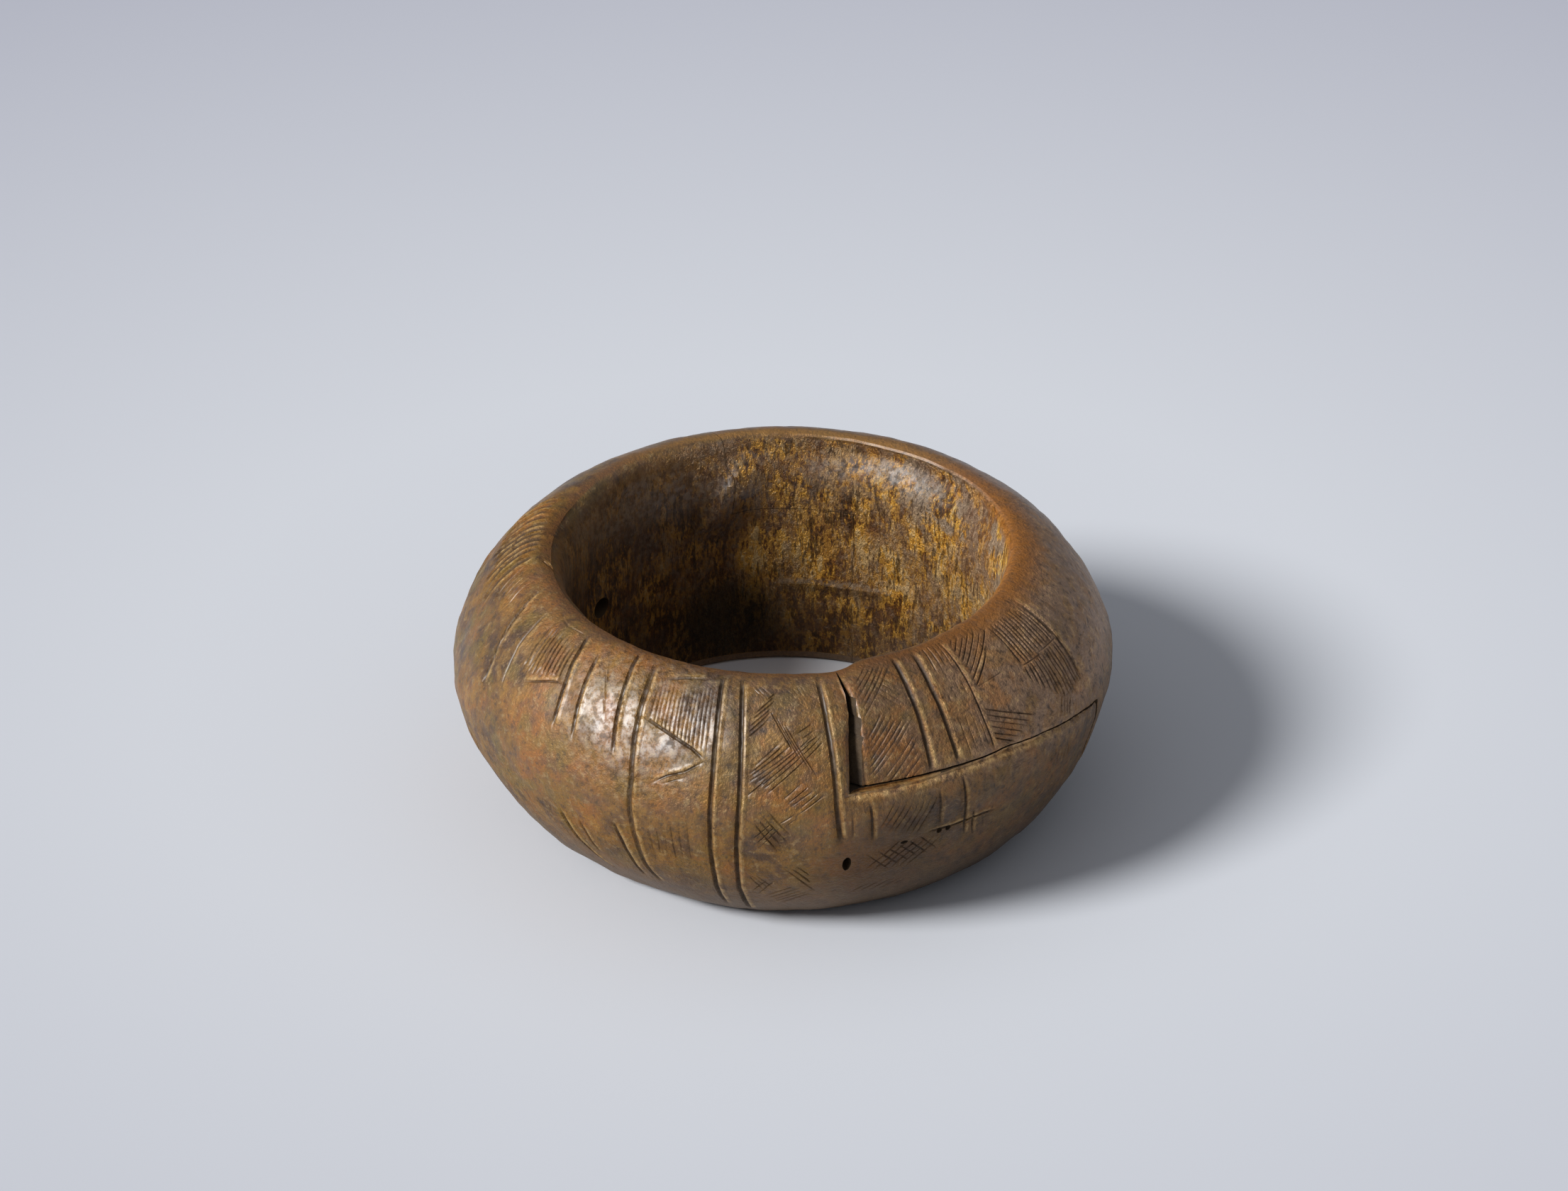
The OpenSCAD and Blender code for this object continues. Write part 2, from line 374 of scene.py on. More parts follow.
def left_bands(chase):
    """Paired grooves and hatched panels of the left half, from the far left to the front."""
    groove, hatch, line = chase.groove, chase.hatch, chase.line
    for az, top, low in (
            (-203.4, 3.4, 12), (-200.6, 3, 12), (-197.8, 2.6, 11), (-195.2, 2.4, 11.5), (-192.4, 2.2, 10.5),
            (-189.8, 2, 11), (-187.6, 1.9, 10), (-185, 1.8, 10.5), (-182.6, 1.6, 12), (-180.3, 2, 11.5),
            (-176.6, 2.4, 13)):
        groove([(az, top), (az + 0.8, (top + low) / 2), (az + 2, low)], 1.6, 0.5)
    groove([(-174.2, 1.6), (-171.6, 0.4), (-170, -1.2)], 0.6, 0.35)
    hatch((-174, 4, -171, 10), (-167, 3.5, -165, 9), 5, 0.4, 0.16)
    groove([(-162, 3), (-160, 8), (-158.2, 12.7), (-157, 15), (-156, 19)], 0.8, 0.42)
    groove([(-160.2, 5.5), (-158.8, 9), (-157.4, 12.8)], 0.6, 0.3)
    groove([(-153.3, 4), (-152.4, 11), (-150.4, 17)], 0.7, 0.2)
    line((-150.7, 2.3), (-148.8, 3), 0.6, 0.3)
    line((-148.8, 3), (-144.7, 3.6), 0.6, 0.3)
    line((-144.7, 3.6), (-139.5, 3.2), 0.5, 0.22)
    hatch((-148.8, 5, -147.6, 12.4), (-139, 5.4, -138, 11), 10, 0.5, 0.32)
    groove([(-145.2, 14), (-143, 13.1), (-139.8, 11.8), (-136.6, 10.9)], 0.55, 0.3)
    groove([(-139, 3), (-137.8, 5), (-137, 8), (-136, 11), (-135, 14.3), (-134.4, 17)], 0.85, 0.5)
    groove([(-132.7, 5), (-131.4, 10.7), (-130.4, 14.3), (-129.6, 17.5)], 0.85, 0.45)
    groove([(-132, 31), (-130.4, 35), (-128.2, 39.5), (-125.6, 43)], 1.2, 0.6)
    groove([(-127.8, 31), (-125.7, 38)], 0.8, 0.32)
    hatch((-129.5, 4.5, -127.6, 7), (-126.8, 9.5, -124.6, 12.5), 5, 0.4, 0.12)
    groove([(-124.8, 1.5), (-123.5, 6), (-122.5, 10.5), (-121.8, 13.5), (-121, 17)], 0.85, 0.5)
    groove([(-120, 28.5), (-118.8, 34), (-117, 41)], 0.9, 0.45)
    groove([
        (-119.3, 3), (-118.5, 7), (-118, 11), (-117.5, 15),
        (-116.5, 20), (-116.3, 29), (-115.7, 36), (-114, 42)], 1.15, 0.4)


def front_bands(chase):
    """Paired grooves, hatched panel and crossed field at the front of the left half."""
    groove, hatch, line = chase.groove, chase.hatch, chase.line
    hatch((-116.4, 5.4, -115.7, 11), (-104.4, 4.6, -103.8, 14.6), 15, 0.4, 0.11)
    groove([(-115.2, 4.7), (-111.2, 3.7), (-106.4, 3.2)], 0.8, 0.26)
    groove([(-116.4, 11.1), (-113, 12), (-109.6, 13), (-106.6, 14), (-104.2, 15.3)], 0.75, 0.4)
    groove([(-112.6, 19.9), (-110.4, 18.6), (-107.2, 17.5), (-104.4, 15.8)], 0.6, 0.3)
    groove([(-110.4, 19.6), (-107.4, 18.4)], 0.45, 0.2)
    groove([
        (-103.4, 2.5), (-102.7, 9.5), (-102.3, 16), (-102.2, 23),
        (-102.4, 32), (-102.4, 39), (-101.6, 46)], 1.0, 0.6)
    groove([(-99, 3), (-98.2, 8), (-97.6, 14), (-97.4, 21), (-98, 30), (-98.2, 39), (-97, 48)], 1.0, 0.6)
    hatch((-113.2, 28, -112.9, 33.5), (-106.3, 25, -106.1, 33.5), 6, 0.4, 0.14)
    # Crossed field between the front pair and the slit
    hatch((-96.6, 11.6, -92.8, 8.6), (-96, 8.2, -92, 5.4), 5, 0.42, 0.26)
    line((-93.6, 6), (-91, 4.2))
    hatch((-92.6, 7.6, -88.2, 13.4), (-89.4, 10.2, -84.4, 16.8), 4, 0.44, 0.24)
    hatch((-95.4, 15.8, -90.6, 12), (-95.8, 17.8, -88.2, 13), 4, 0.44, 0.26)
    hatch((-95, 18.2, -84.8, 11.2), (-92.6, 19.2, -82.9, 12.2), 4, 0.44, 0.3)
    line((-96.3, 20), (-93, 17.4), 0.44, 0.28)
    hatch((-87.8, 11, -84.4, 9.2), (-86.6, 12.8, -83, 11), 3, 0.42, 0.26)
    hatch((-90.2, 20.4, -86.8, 18), (-87.4, 22.4, -83.2, 19.8), 5, 0.42, 0.28)
    hatch((-91, 24, -88.2, 22.4), (-90, 24.4, -87.8, 23), 2, 0.4, 0.22)
    hatch((-92.8, 21.8, -89, 26), (-95, 23.8, -90.8, 29.4), 4, 0.44, 0.28)
    hatch((-95, 26.8, -92, 23.8), (-94, 28.4, -90.6, 24.8), 3, 0.4, 0.22)
    hatch((-89.6, 33.4, -84.4, 39.4), (-87.8, 32.8, -85.6, 35.2), 3, 0.44, 0.26)
    hatch((-96, 35.8, -93.8, 39.2), (-94.4, 35.8, -92.2, 38.6), 3)
    hatch((-96, 40.2, -92.8, 36.4), (-94.6, 40.6, -91.6, 36.8), 2, 0.42, 0.22)
    hatch((-97, 3.8, -94, 5.8), (-95.2, 3.4, -92.8, 5.2), 3, 0.4, 0.11)
    hatch((-88.2, 3.6, -86.2, 6), (-86.6, 3.4, -85, 5.6), 3, 0.4, 0.12)
    hatch((-93.4, 41.5, -88.4, 38), (-91, 44, -84.6, 40), 5, 0.4, 0.18)
    groove([(-82.6, 2.5), (-82, 7), (-81.6, 12), (-81.3, 17), (-81.2, 22), (-80.6, 28)], 1.2, 0.55)
    # Lines on the tongue, under the seam
    groove([(-75.6, 21.4), (-75.3, 25), (-75.1, 28.4)], 0.7, 0.32)
    groove([(-78.7, 22.5), (-78.5, 27.5)], 0.5, 0.16)
    hatch((-74.2, 26.4, -71.6, 22.4), (-67.4, 28.6, -63.8, 22.8), 8, 0.42, 0.18)
    groove([(-63.2, 21.5), (-63, 28.6)], 0.6, 0.22)
    groove([(-58.6, 20.6), (-58.3, 25), (-58, 28.6), (-57.3, 32.5)], 0.6, 0.32)
    groove([(-56.4, 27), (-55.9, 31), (-55, 33.6)], 0.5, 0.25)
    line((-54.3, 28.8), (-53.4, 31.8), 0.4, 0.2)
    groove([(-65, 29), (-60.4, 29.2), (-56, 29), (-51.4, 29.2)], 0.6, 0.3)
    hatch((-75.6, 31.6, -71.4, 35.6), (-66.6, 29.4, -62.4, 33.4), 6)
    hatch((-75.4, 34.4, -70, 29.6), (-68, 36.4, -62.8, 30.8), 6)
    hatch((-77.6, 41.4, -74.6, 39.2), (-70, 42, -66.6, 39.6), 5, 0.42, 0.2)
    hatch((-38, 24, -37.8, 27), (-33, 25, -32.8, 27.6), 6, 0.38, 0.14)


def gate_bands(chase):
    """Lines of the gate's front: slanted hatch, two uprights, dotted uprights, fan and close dark band."""
    groove, hatch, line = chase.groove, chase.hatch, chase.line
    hatch((-75, 4.2, -70.6, 0.9), (-74.6, 9.4, -66.2, 2.2), 6, 0.5, 0.18)
    hatch((-70.4, 2.6, -66.2, 5.6), (-71.6, 5.4, -66.4, 9), 4, 0.4, 0.12)
    hatch((-75, 13, -70.8, 9), (-74.8, 18.6, -65.4, 11), 7, 0.56, 0.17)
    hatch((-73, 19.2, -65.4, 13), (-67.6, 19.4, -64.8, 17.2), 5, 0.56, 0.17)
    groove([(-64.2, 1), (-64, 7), (-63.8, 13), (-63.8, 19)], 1.15, 0.55)
    groove([(-59, 1), (-59.2, 7), (-59, 13), (-58.7, 18.8)], 1.15, 0.55)
    for az in (-56.5, -55.1, -53.8, -52.6):
        line((az + 0.3, 1), (az, 5.2), 0.46, 0.24)
        chase.dotted((az, 5.6), (az + 0.2, 10.4), 4)
        line((az + 0.2, 12.6), (az + 0.4, 18.6), 0.36, 0.14)
    groove([(-51.3, 1.2), (-51.2, 8), (-51.4, 14), (-51.3, 19)], 0.55, 0.32)
    hatch((-49.8, 2.6, -47.6, 1), (-50.2, 8.6, -38.4, 2.6), 7, 0.42, 0.26)
    groove([(-50.2, 9.6), (-46, 7.4), (-42.6, 5.4)], 0.5, 0.3)
    line((-50.2, 9.7), (-42.4, 9.4), 0.4, 0.18)
    hatch((-50.8, 12.8, -40.5, 17.2), (-50.6, 17.4, -46.4, 19.2), 6, 0.42, 0.26)
    for i in range(13):
        az = -37.2 + 1.04 * i + chase.hand.uniform(-0.12, 0.12)
        line((az, 3 + 0.06 * i), (az + 0.3, 10), 0.62, 0.44)
        line((az + 0.3, 10.6), (az + 0.1, min(13.4 + 0.8 * i, 18.2)), 0.6, 0.4)
    hatch((-37.6, 10.2, -31, 10.5), (-32, 10.2, -24.6, 10.6), 2, 0.5, 0.16)
    groove([(-24.4, 2.4), (-24.2, 9), (-24.3, 17.6)], 0.55, 0.3)
    hatch((-34, 20, -31.6, 17.4), (-31.4, 20.8, -29.4, 18.4), 4, 0.38, 0.18)


def pair(chase, az, top, low=44, lean=1.2):
    """Two grooves side by side down the wall."""
    for shift in (-2.2, 2.2):
        places = [(az + shift + lean * t, top + (low - top) * t) for t in (0, 0.2, 0.4, 0.6, 0.8, 1)]
        chase.groove(places, 0.95, 0.52)


def back_bands(chase):
    """The same motifs carried round the back, which the front bands don't reach."""
    groove, hatch = chase.groove, chase.hatch
    for az, top in ((22, 15.5), (52, 7.5), (-213, 11.5), (118, 7.5)):
        pair(chase, az, top)
    hatch((27, 12.6, 27.6, 17.4), (47, 8.6, 47.4, 17.4), 17, 0.44, 0.26)
    groove([(26, 21.6), (37, 18.6), (48, 21.6)], 0.6, 0.38)
    for low in (24, 30):
        hatch((27, low + 5, 33, low), (42, low + 5, 48, low), 7)
        hatch((27, low, 33, low + 5), (42, low, 48, low + 5), 7)
    hatch((57, 13, 60, 7), (65, 17, 70, 7), 6, 0.44, 0.26)
    hatch((-207, 14, -206.4, 21), (-190, 14, -189.4, 21), 14, 0.44, 0.26)
    hatch((-207, 33, -202, 27), (-197, 35, -191, 28), 6)
    hatch((-207, 27, -202, 33), (-198, 28, -192, 35), 6)
    hatch((-226, 8, -225, 14), (-219, 9, -218, 14), 7, 0.44, 0.26)
    groove([(-226, 18), (-222, 16), (-218, 18)], 0.6, 0.36)
    hatch((-226, 24, -221, 29), (-222, 22, -217, 27), 5)
    hatch((122, 8, 122.6, 14), (126, 8, 126.4, 14), 4, 0.44, 0.26)
    hatch((107, 8, 113, 14), (107, 16, 113, 22), 6)
    hatch((2, 30, 8, 24), (12, 32, 17, 26), 7, 0.42, 0.22)
    hatch((-172, 34, -168, 28), (-162, 36, -158, 30), 6, 0.42, 0.2)
    groove([(-172, 26), (-171, 33), (-168.6, 41)], 0.8, 0.36)
    groove([(-186, 22), (-185, 31), (-182.6, 41)], 0.8, 0.36)


class Sheet:
    """The ring's wall rolled out flat in small tiles, with x along the ring and y down the wall, in mm."""
    TILE_COLUMNS, TILE_ROWS = 9, 17

    def __init__(self, wall):
        self.wall = wall
        rows = wall.rows()
        self.tiles = [
            self.tile(column, rows[row:row + self.TILE_ROWS + 1])
            for column in range(0, SHEET_COLUMNS, self.TILE_COLUMNS)
            for row in range(0, len(rows) - 1, self.TILE_ROWS)]

    def tile(self, column, rows):
        """A flat grid over some columns and rows of the wall."""
        bm = bmesh.new()
        last = len(rows) - 1
        bmesh.ops.create_grid(bm, x_segments=self.TILE_COLUMNS, y_segments=last, size=1)
        for v in bm.verts:
            az = SHEET_AZ + 360 / SHEET_COLUMNS * (column + round((v.co.x + 1) / 2 * self.TILE_COLUMNS))
            v.co = math.radians(az) * FLAT_R, rows[round((v.co.y + 1) / 2 * last)], 0
        low, high = (Vector(f(c) for c in zip(*(v.co for v in bm.verts))) for f in (min, max))
        return bm, low, high

    def cut(self, run):
        """Cuts the sheet along a run, once for each step of its cross section."""
        p, q = (Vector((math.radians(az) * FLAT_R, s)) for az, s in run[:2])
        half = run[2] / 2
        stretch = float(self.wall.at((p.y + q.y) / 2)[0]) / FLAT_R
        way = q - p
        across = Vector((way.y / stretch, -way.x * stretch)) / math.hypot(way.x * stretch, way.y)
        steps = {
            "groove": (-half, -0.5 * half, 0, 0.5 * half, half, half + 0.3, half + 0.75),
            "edge": (-half, -0.5 * half, -0.08, 0.08, 0.5 * half, half),
            "line": (-half, 0, half),
        }[run[4]]
        reach = max(abs(step) for step in steps) + 0.02
        low = [min(a, b) - abs(c) * reach for a, b, c in zip(p, q, across)]
        high = [max(a, b) + abs(c) * reach for a, b, c in zip(p, q, across)]
        for bm, tile_low, tile_high in self.tiles:
            if all(a < d and b > c for a, b, c, d in zip(tile_low, tile_high, low, high)):
                self.cut_tile(bm, low, high, way, [p + across * step for step in steps])

    def cut_tile(self, bm, low, high, way, points):
        """Cuts the faces of a tile that reach into a box, along lines through the points."""
        faces = []
        for face in bm.faces:
            xs, ys, _ = zip(*(v.co for v in face.verts))
            if min(xs) < high[0] and max(xs) > low[0] and min(ys) < high[1] and max(ys) > low[1]:
                faces.append(face)
        for point in points:
            edges = {e for f in faces for e in f.edges}
            verts = {v for e in edges for v in e.verts}
            made = bmesh.ops.bisect_plane(
                bm, geom=[*verts, *edges, *faces], dist=0.03,
                plane_co=point.to_3d(), plane_no=(way.y, -way.x, 0))
            faces = [g for g in made["geom"] if isinstance(g, bmesh.types.BMFace)]

    def joined(self):
        """One sheet of all the tiles, with the points on a tile's sides set in its neighbours too."""
        whole, store = bmesh.new(), bpy.data.meshes.new("tile")
        for bm, _, _ in self.tiles:
            bm.to_mesh(store)
            bm.free()
            whole.from_mesh(store)
        bpy.data.meshes.remove(store)
        for fixed, free in ((0, 1), (1, 0)):
            lines = {}
            for edge in whole.edges:
                a, b = (v.co for v in edge.verts)
                if edge.is_boundary and abs(a[fixed] - b[fixed]) < 1e-4:
                    lines.setdefault(round(a[fixed], 2), []).append(edge)
            for edges in lines.values():
                stops = sorted({round(v.co[free], 5) for edge in edges for v in edge.verts})
                for edge in edges:
                    start, end = sorted(edge.verts, key=lambda v: v.co[free])
                    for stop in stops:
                        if start.co[free] + 1e-3 < stop < end.co[free] - 1e-3:
                            share = (stop - start.co[free]) / (end.co[free] - start.co[free])
                            edge, start = bmesh.utils.edge_split(edge, start, share)
                            edge = next(e for e in start.link_edges if end in e.verts)
        bmesh.ops.remove_doubles(whole, verts=[v for v in whole.verts if v.is_boundary], dist=2e-3)
        return whole


def carved(x, y, chase, wall):
    """Depth of the incised lines, height of their lips and wear of the joint edges, over the sheet."""
    depth, lip, worn, grime_and_shade = (np.zeros_like(x) for _ in range(4))
    for p, q, width, deep, kind, open_start, open_end in chase.runs:
        half, reach = width / 2, width / 2 + 0.9
        px, qx = (math.radians(place[0]) * FLAT_R for place in (p, q))
        py, qy = p[1], q[1]
        pad = reach * 1.4
        near = np.nonzero(
            (x > min(px, qx) - pad) & (x < max(px, qx) + pad)
            & (y > min(py, qy) - pad) & (y < max(py, qy) + pad))[0]
        stretch = wall.at((py + qy) / 2)[0] / FLAT_R
        ux, uy = (qx - px) * stretch, qy - py
        length = math.hypot(ux, uy)
        ux, uy = ux / length, uy / length
        dx, dy = (x[near] - px) * stretch, y[near] - py
        run = dx * ux + dy * uy
        side = dx * uy - dy * ux
        past = np.maximum(np.maximum(-run, run - length), 0)
        gap = np.hypot(side, past)
        taper = np.ones_like(run)
        fade = min(1.2 if kind == "groove" else 0.7, length / 2)
        if open_start:
            taper *= smooth(-0.05, fade, run)
        if open_end:
            taper *= smooth(-0.05, fade, length - run)
        share = np.clip(gap / half, 0, 1)
        if kind == "edge":
            worn[near] = np.maximum(worn[near], deep * (1 - share) ** 2)
            continue
        sway = 0.85 + 0.25 * np.sin(run * 1.9 + px) * np.sin(run * 0.7 + py)
        cross = (1 - share ** 2 if kind == "groove" else 1 - share) * sway
        depth[near] = np.maximum(depth[near], deep * cross * taper)
        # Dirt and painted shade beside each line, fading out past its edge
        halo = np.clip(1 - (gap - half) / 0.9, 0, 1) * min(1, deep / 0.3)
        grime_and_shade[near] = np.maximum(grime_and_shade[near], halo * np.maximum(taper, 0.3))
        if kind == "groove":
            bank = np.clip(1 - np.abs(side - half - 0.28) / 0.45, 0, 1) * (past == 0)
            lip[near] = np.maximum(lip[near], 0.34 * deep * bank * taper)
    lip *= depth < 0.02
    return depth, lip, worn, grime_and_shade


def bulge(az, s, at, spread, height):
    """A soft swelling or hollow of the wall round a place."""
    turn = (az - at[0] + 180) % 360 - 180
    return height * np.exp(-(turn / spread[0]) ** 2 - ((s - at[1]) / spread[1]) ** 2)


def handwork(az, s):
    """How far the cast wall departs from a true ring, in mm."""
    off = np.zeros_like(s)
    for place, spread, height in (
            ((-166, 31), (14, 9), 0.8), ((-122, 46), (14, 6), -0.6), ((56, -3.6), (46, 3.2), -2.4),
            ((-108, 16), (9, 5), -0.25), ((-127, 11), (7, 6), 0.22), ((-100.5, 12), (2, 14), 0.18),
            ((-88, 24), (8, 9), 0.2), ((-170, 14), (10, 6), -0.3), ((-40, 30), (12, 6), -0.2),
            ((10, 12), (14, 8), -0.2), ((-174.9, 2.4), (1.3, 0.9), 0.5)):
        off += bulge(az, s, place, spread, height)
    # Rim worn down along the left half, as far as the gate's corner
    off -= 1.25 * np.exp(-((s + 1.2) / 3.2) ** 2) * smooth(-228, -200, az) * smooth(-70, -79, az)
    return off


def bore_marks(az, s, z):
    """Ledge low in the bore, a slanting fold at the back and the uneven wall between, in mm."""
    in_bore = smooth(-3, -6, s)
    level = LEDGE_Z + 0.35 * np.sin(np.radians(az * 5))
    ledge = smooth(level + 0.45, level - 0.45, z) * smooth(54, 62, az) * smooth(99, 94, az) * smooth(2, 9, z)
    fold = 102.8 + (37.2 - z) * 1.09
    proud = smooth(fold + 0.8, fold - 0.8, az) * smooth(fold - 15, fold - 2, az) * smooth(23, 28, z)
    waves = 0.18 * np.sin(np.radians(az * 7 + 40)) * np.sin(z * 0.23)
    waves += 0.12 * np.sin(np.radians(az * 13) + z * 0.3)
    return in_bore * (0.9 * ledge + 1.1 * proud + waves)


def incised_ring(shape, wall):
    """The whole ring in mm, with every line cut in its wall, before the joints part it."""
    chase = Chasing(shape)
    joint_edges(chase, wall, shape.edge_wear / MM)
    for bands in (left_bands, front_bands, gate_bands, back_bands):
        bands(chase)
    sheet = Sheet(wall)
    for run in chase.runs:
        sheet.cut(run)
    bm = sheet.joined()
    flat = np.array([v.co[:2] for v in bm.verts])
    az, s = np.degrees(flat[:, 0] / FLAT_R), flat[:, 1]
    depth, lip, worn, grime_and_shade = carved(flat[:, 0], s, chase, wall)
    r, z, nr, nz = wall.at(s)
    rad = np.radians(az)
    seam_s = wall.outside(along(SEAM, az))
    under_seam = smooth(seam_s - 0.1, seam_s + 0.1, s)
    # Band just under the seam on the tongue's side: painted highlight only, it adds no relief
    seam_band_highlight = smooth(-79.5, -78.5, az) * smooth(-20, -48, az) * np.exp(-((s - seam_s - 0.7) / 0.5) ** 2)
    corner = smooth(-54, -74, az) * smooth(-79.5, -77.5, az) * smooth(6, seam_s, s) * (s < seam_s) * (s > 0)
    lift = lip - depth - worn + handwork(az, s) + bore_marks(az, s, z) - corner * shape.gate_sink / MM
    uneven = np.array([
        noise.noise(Vector((a, b, c))) + 0.45 * noise.noise(Vector((2.6 * a, 2.6 * b, 2.6 * c + 9)))
        for a, b, c in zip(r * np.cos(rad) / 5, r * np.sin(rad) / 5, z / 5)])
    lift += uneven * shape.hammer / MM * smooth(56, 52, s)
    lift *= smooth(wall.s[0], wall.s[0] + 3, s) * smooth(wall.s[-1], wall.s[-1] - 3, s)
    r, z = r + lift * nr, np.maximum(z + lift * nz, 0)
    # Painted highlight with rubbed metal on lips and worn joint edges, stronger under the seam
    lit_edge = np.minimum(1, lip / 0.09 + worn / 0.5 * (0.3 + 0.7 * under_seam) + seam_band_highlight)
    marks = smooth(0.02, 0.22, depth), lit_edge, grime_and_shade, s, np.ones_like(s)
    layers = [bm.verts.layers.float.new(name) for name in MARKS]
    for i, v in enumerate(bm.verts):
        v.co = r[i] * math.cos(rad[i]), r[i] * math.sin(rad[i]), z[i]
        for layer, mark in zip(layers, marks):
            v[layer] = mark[i]
    rim = [v for v in bm.verts if v.is_boundary]
    bmesh.ops.remove_doubles(bm, verts=rim, dist=0.001)
    bmesh.ops.recalc_face_normals(bm, faces=bm.faces)
    return bm


def mesh_object(name, bm, materials=()):
    """A new object in the scene from a bmesh."""
    mesh = bpy.data.meshes.new(name)
    bm.to_mesh(mesh)
    bm.free()
    for material in materials:
        mesh.materials.append(material)
    made = bpy.data.objects.new(name, mesh)
    bpy.context.scene.collection.objects.link(made)
    return made


def radial_block(az_from, az_to, low, high, first=None, last=None, inner=None, flare=None):
    """A block between two directions and two heights that reaches through the wall, for cutting.

    Its ends may follow the height. A bevel starts at the inner radius and flares by degrees for each mm.
    """
    columns = max(2, int((az_to - az_from) / 2))
    bm = bmesh.new()
    bmesh.ops.create_grid(bm, x_segments=columns, y_segments=12, size=1)
    for v in bm.verts:
        i, j = (v.co.x + 1) / 2, (v.co.y + 1) / 2
        az = az_from + (az_to - az_from) * i
        floor, ceiling = (level(az) if callable(level) else level for level in (low, high))
        v.co = az, floor + (ceiling - floor) * j, CUT_FROM
        if inner:
            v.co.z = inner(v.co.y)
        if first and i < 1e-6:
            v.co.x = first(v.co.y)
        if last and i > 1 - 1e-6:
            v.co.x = last(v.co.y)
    grown = bmesh.ops.extrude_face_region(bm, geom=bm.faces[:])
    for v in grown["geom"]:
        if isinstance(v, bmesh.types.BMVert):
            if flare and v.co.x > az_to - 2.9:
                v.co.x += flare(v.co.y) * (CUT_TO - v.co.z)
            v.co.z = CUT_TO
    for v in bm.verts:
        az, height, radius = math.radians(v.co.x), v.co.y, v.co.z
        v.co = radius * math.cos(az), radius * math.sin(az), height
    bmesh.ops.recalc_face_normals(bm, faces=bm.faces)
    return bm


def facing(way):
    """Turn that brings +Z into a direction."""
    return way.to_track_quat("Z", "Y").to_matrix().to_4x4()


def rod(radius, start, end, segments=64):
    """A round rod between two points, for cutting."""
    start, end = Vector(start), Vector(end)
    bm = bmesh.new()
    bmesh.ops.create_cone(
        bm, cap_ends=True, segments=segments, radius1=radius, radius2=radius, depth=(end - start).length,
        matrix=Matrix.Translation((start + end) / 2) @ facing(end - start))
    return bm


def casting_hole(wall, az, s, size, deep):
    """An oval hole that runs straight into the wall, for cutting."""
    r, z, nr, nz = (float(c) for c in wall.at(s))
    cos, sin = math.cos(math.radians(az)), math.sin(math.radians(az))
    place = Matrix.Translation((r * cos, r * sin, z)) @ facing(Vector((nr * cos, nr * sin, nz)))
    oval = Matrix.Diagonal((size[0] / 2, size[1] / 2, deep, 1))
    bm = bmesh.new()
    bmesh.ops.create_uvsphere(bm, u_segments=20, v_segments=14, radius=1)
    bmesh.ops.transform(bm, verts=bm.verts, matrix=place @ oval)
    return bm


def discard(piece):
    """Removes an object and its mesh."""
    mesh = piece.data
    bpy.data.objects.remove(piece)
    bpy.data.meshes.remove(mesh)


def cut_away(target, cutters, lap):
    """Takes the cutters off the target's mesh and gives the new faces the lap's finish."""
    group = bpy.data.collections.new("cutters")
    bpy.context.scene.collection.children.link(group)
    for i, bm in enumerate(cutters):
        cutter = mesh_object(f"cutter_{i}", bm, [lap])
        bpy.context.scene.collection.objects.unlink(cutter)
        group.objects.link(cutter)
    change = target.modifiers.new("joints", "BOOLEAN")
    change.operation, change.solver, change.operand_type = "DIFFERENCE", "MANIFOLD", "COLLECTION"
    change.material_mode, change.collection = "TRANSFER", group
    seen = target.evaluated_get(bpy.context.evaluated_depsgraph_get())
    result = bpy.data.meshes.new_from_object(seen)
    target.modifiers.clear()
    old = target.data
    target.data = result
    bpy.data.meshes.remove(old)
    for cutter in list(group.objects):
        discard(cutter)
    bpy.data.collections.remove(group)


def less(bm, *others):
    """A cutter with other cutters taken off it."""
    block = mesh_object("block", bm)
    cut_away(block, others, None)
    rest = bmesh.new()
    rest.from_mesh(block.data)
    discard(block)
    return rest


def mend_marks(mesh, ring):
    """Gives the vertices made along the joints the marks of the nearest vertex of the ring."""
    tree = kdtree.KDTree(len(ring.vertices))
    for v in ring.vertices:
        tree.insert(v.co, v.index)
    tree.balance()
    new = [mesh.attributes[name].data for name in MARKS]
    old = [ring.attributes[name].data for name in MARKS]
    for v in mesh.vertices:
        if new[-1][v.index].value < 0.5:
            _, nearest, _ = tree.find(v.co)
            for to, source in zip(new, old):
                to[v.index].value = source[nearest].value


def finish_piece(piece, body, node, sharp=32):
    """Scales a piece from mm to metres, shades it and hands it to the frame."""
    piece.data.transform(Matrix.Scale(MM, 4))
    piece.data.shade_smooth()
    piece.data.set_sharp_from_angle(angle=math.radians(sharp))
    piece.data.update()
    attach(piece, body)
    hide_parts(node)


